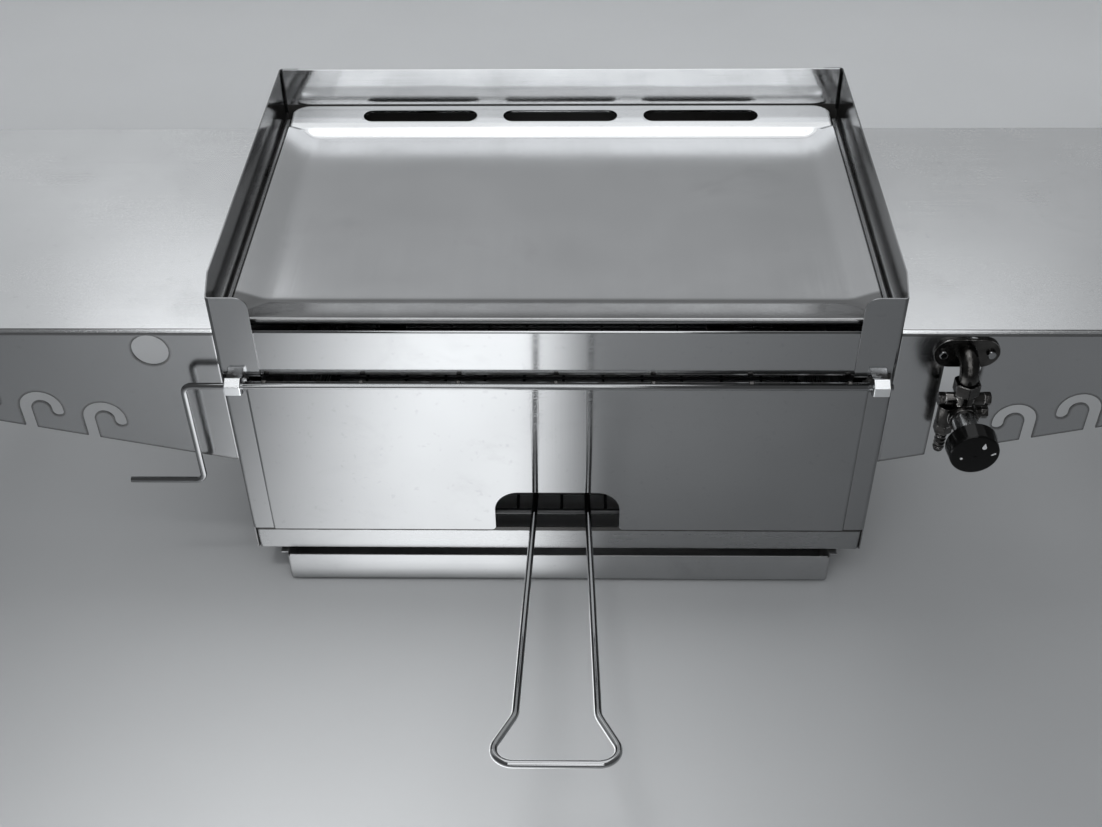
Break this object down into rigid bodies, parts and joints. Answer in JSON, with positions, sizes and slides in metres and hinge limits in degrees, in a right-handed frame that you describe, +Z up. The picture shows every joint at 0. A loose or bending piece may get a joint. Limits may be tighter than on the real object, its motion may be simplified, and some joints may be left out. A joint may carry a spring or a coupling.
{
  "type": "gas barbecue",
  "caption": "Flat stainless gas barbecue: griddle plate over a burner, wire rack behind a lift-up door, drip tray, hooked side shelves and a gas tap.",
  "frame": {"origin": "on the floor, under the middle of the outline in plan", "axes": "+X along the long side, to the right of a person at the front; +Y to the back; +Z up"},
  "size_m": [1.284, 0.7592, 0.363],
  "materials": {
    "stainless_bright": "bright annealed",
    "stainless_satin": "satin",
    "griddle_steel": "satin, used",
    "chromed_wire": "polished",
    "weld_metal": "heat tinted",
    "zinc_fastener": "bright zinc",
    "tap_brass": "dull cast and turned",
    "tap_chrome": "turned and plated",
    "gas_tube": "drawn",
    "knob_black": "moulded",
    "foot_rubber": "matte"
  },
  "bodies": {
    "body": {"front_fascia": "stainless_bright", "lower_front_rail": "stainless_bright", "left_side_panel": "stainless_bright", "right_side_panel": "stainless_bright", "back_panel": "stainless_bright", "left_hinge_bush": "stainless_bright", "right_hinge_bush": "stainless_bright", "rear_rivets": "stainless_bright", "left_shelf": "stainless_satin", "right_shelf": "stainless_satin", "left_griddle_ledge": "stainless_satin", "right_griddle_ledge": "stainless_satin", "left_rack_runner": "stainless_satin", "right_rack_runner": "stainless_satin", "left_tray_runner": "stainless_satin", "right_tray_runner": "stainless_satin", "burner_tube": "stainless_satin", "burner_straps": "stainless_satin", "left_shelf_bolts": "zinc_fastener", "right_shelf_bolts": "zinc_fastener", "left_shelf_nuts": "zinc_fastener", "right_shelf_nuts": "zinc_fastener", "foot_nuts": "zinc_fastener", "flange_bolts": "zinc_fastener", "flange_nuts": "zinc_fastener", "valve_body": "tap_brass", "valve_flange": "tap_brass", "outlet_elbow": "tap_brass", "union_nut": "tap_brass", "side_plugs": "tap_brass", "hose_barb": "tap_brass", "barb_nut": "tap_brass", "injector": "tap_brass", "injector_nut": "tap_brass", "pipe_nut": "tap_brass", "valve_bonnet": "tap_chrome", "gas_pipe": "gas_tube", "front_left_foot": "foot_rubber", "front_right_foot": "foot_rubber", "rear_left_foot": "foot_rubber", "rear_right_foot": "foot_rubber"},
    "door": {"door_panel": "stainless_bright", "hinge_rod": "chromed_wire", "weld_beads": "weld_metal"},
    "rack": {"rack_frame": "chromed_wire", "rack_bars": "chromed_wire", "rack_wires": "chromed_wire", "rack_handle": "chromed_wire"},
    "tray": {"drip_tray": "stainless_satin"},
    "griddle_plate": {"griddle": "griddle_steel"},
    "push_collar": {"stem_collar": "tap_brass"},
    "tap_knob": {"knob": "knob_black", "valve_stem": "tap_brass"}
  },
  "joints": [
    {"name": "door_swing", "type": "hinge", "parent": "body", "child": "door", "pos_m": [0, -0.0306, 0.2605], "axis": [-1, 0, 0], "range_deg": [0, 185]},
    {"name": "rack_slide", "type": "slide", "parent": "body", "child": "rack", "axis": [0, -1, 0], "range_m": [-0.035, 0.004]},
    {"name": "tray_slide", "type": "slide", "parent": "body", "child": "tray", "axis": [0, -1, 0], "range_m": [0, 0.3]},
    {"name": "griddle_lift", "type": "slide", "parent": "body", "child": "griddle_plate", "axis": [0, 0, 1], "range_m": [0, 0.08]},
    {"name": "knob_push", "type": "slide", "parent": "body", "child": "push_collar", "axis": [0, 1, 0], "range_m": [0, 0.0035], "stiffness_N_per_m": 800, "springref_m": -0.004},
    {"name": "knob_turn", "type": "hinge", "parent": "push_collar", "child": "tap_knob", "pos_m": [0.361, -0.0766, 0.2363], "axis": [0, -1, 0], "range_deg": [0, 180]}
  ]
}
